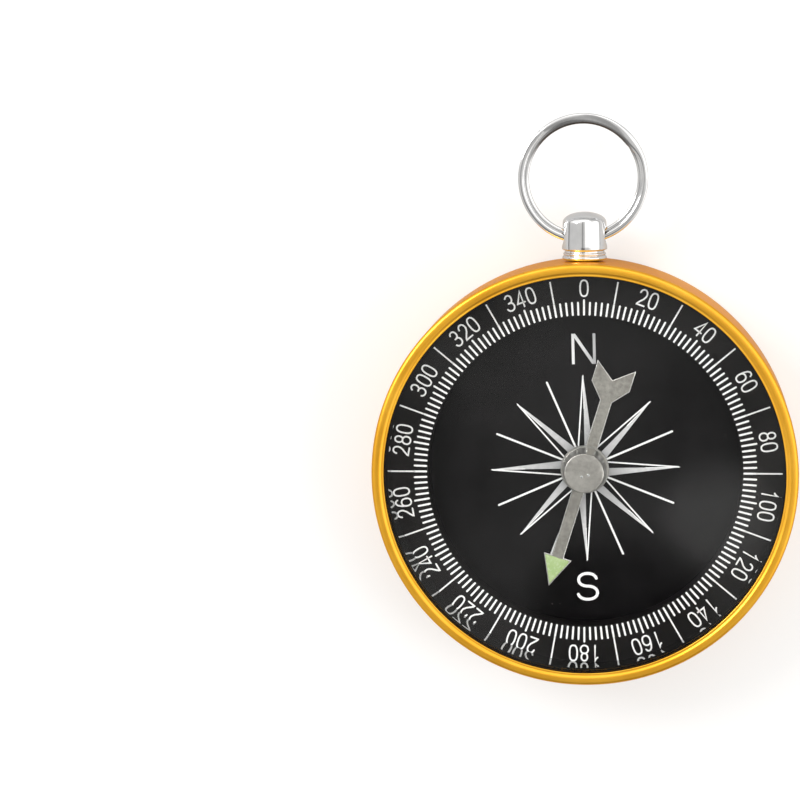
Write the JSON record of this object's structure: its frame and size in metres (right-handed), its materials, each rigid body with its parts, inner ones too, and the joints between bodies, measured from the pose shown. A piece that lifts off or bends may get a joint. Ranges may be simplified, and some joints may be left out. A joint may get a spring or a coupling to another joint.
{
  "type": "pocket compass",
  "caption": "Round key-ring compass: gold case with sunk back, raised degree ring round a lower dial, needle on a point, cross-drilled stem and split ring.",
  "frame": {"origin": "middle of the back's flat resting edge, on the needle's axis", "axes": "+Z out of the dial along the needle's axis, +Y towards the stem and the ring"},
  "size_m": [0.045, 0.0605, 0.01],
  "materials": {
    "case_gold": "turned, gold anodised, satin",
    "back_gold": "fine grained, gold anodised, satin",
    "lens_glass": "clear, polished",
    "gasket_rubber": "matte",
    "chapter_black": "moulded, glossy wall and satin step",
    "white_print": "printed ink",
    "dial_black": "satin lacquer",
    "grey_print": "printed ink",
    "carrier_moulding": "moulded",
    "post_brass": "turned",
    "washer_steel": "stamped",
    "pin_steel": "ground and hardened",
    "needle_steel": "stamped, satin",
    "luminous_paint": "pale green luminous paint",
    "hub_aluminium": "turned, satin",
    "eyelet_aluminium": "drawn",
    "jewel_red": "polished",
    "stem_chrome": "polished",
    "collar_chrome": "polished",
    "ring_chrome": "polished"
  },
  "bodies": {
    "case": {"case_body": "case_gold", "back_cover": "back_gold", "lens": "lens_glass", "lens_gasket": "gasket_rubber", "chapter_ring": "chapter_black", "degree_marks": "white_print", "dial_plate": "dial_black", "rose_print": "grey_print", "dial_carrier": "carrier_moulding", "pivot_post": "post_brass", "post_washer": "washer_steel", "pivot_pin": "pin_steel", "stem": "stem_chrome", "stem_collar": "collar_chrome", "stem_washer": "washer_steel"},
    "needle": {"needle_blade": "needle_steel", "tip_paint": "luminous_paint", "hub_cap": "hub_aluminium", "hub_eyelet": "eyelet_aluminium", "jewel_cup": "jewel_red"},
    "ring": {"split_ring": "ring_chrome"}
  },
  "joints": [
    {"name": "needle_spin", "type": "hinge", "parent": "case", "child": "needle", "pos_m": [0, 0, 0.0064], "axis": [0, 0, 1], "continuous": true},
    {"name": "ring_swing", "type": "hinge", "parent": "case", "child": "ring", "pos_m": [0, 0.0251, 0.005], "axis": [1, 0, 0], "range_deg": [-117, 115]}
  ]
}
